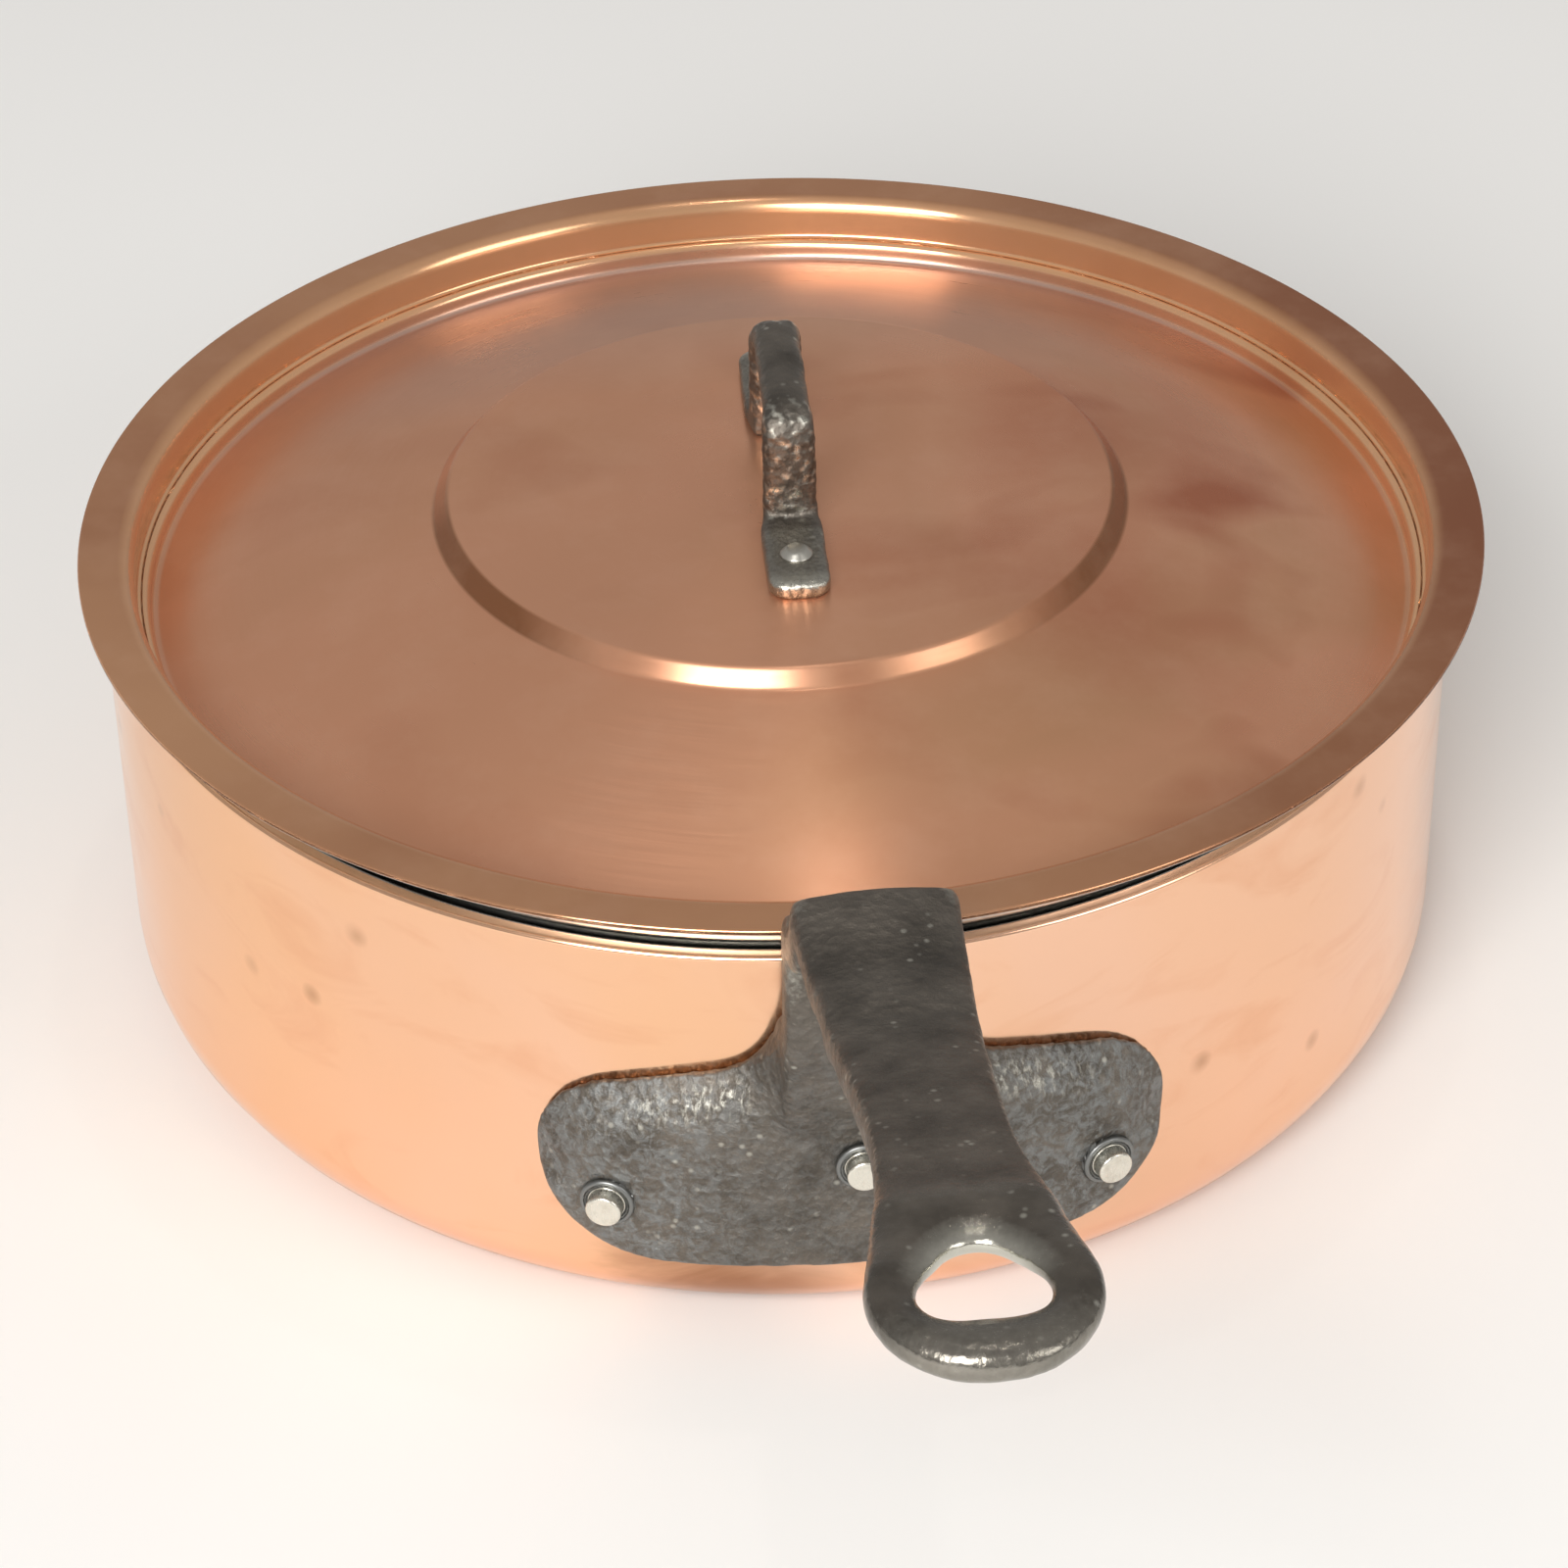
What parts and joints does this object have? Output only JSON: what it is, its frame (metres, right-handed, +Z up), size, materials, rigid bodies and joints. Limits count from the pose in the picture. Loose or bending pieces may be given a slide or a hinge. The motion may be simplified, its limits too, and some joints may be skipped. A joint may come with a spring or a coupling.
{
  "type": "saucepan",
  "caption": "Low straight-sided copper pan with an iron handle riveted to its wall, and a pressed copper lid with an iron bridge handle that lifts off.",
  "frame": {"origin": "centre of the underside of the base, which is the surface that the pan rests on", "axes": "+Z up; -Z is the outward normal of the base; the pan handle points along -Y; +X completes the frame, to the right of someone who holds the handle and faces the pan"},
  "size_m": [0.2544, 0.4053, 0.1404],
  "materials": {
    "polished_copper": "polished",
    "satin_copper": "satin",
    "lining_steel": "satin",
    "cast_iron": "satin",
    "forged_iron": "satin",
    "rivet_steel": "satin"
  },
  "bodies": {
    "pan": {"pan_body": "polished_copper", "pan_lining": "lining_steel", "pan_handle": "cast_iron", "handle_rivet_left": "rivet_steel", "handle_rivet_middle": "rivet_steel", "handle_rivet_right": "rivet_steel"},
    "lid": {"lid_body": "satin_copper", "lid_lining": "lining_steel", "lid_handle": "forged_iron", "lid_rivet_front": "rivet_steel", "lid_rivet_back": "rivet_steel"}
  },
  "joints": [
    {"name": "lid_lift", "type": "slide", "parent": "pan", "child": "lid", "axis": [0, 0, 1], "range_m": [0, 0.16]}
  ]
}
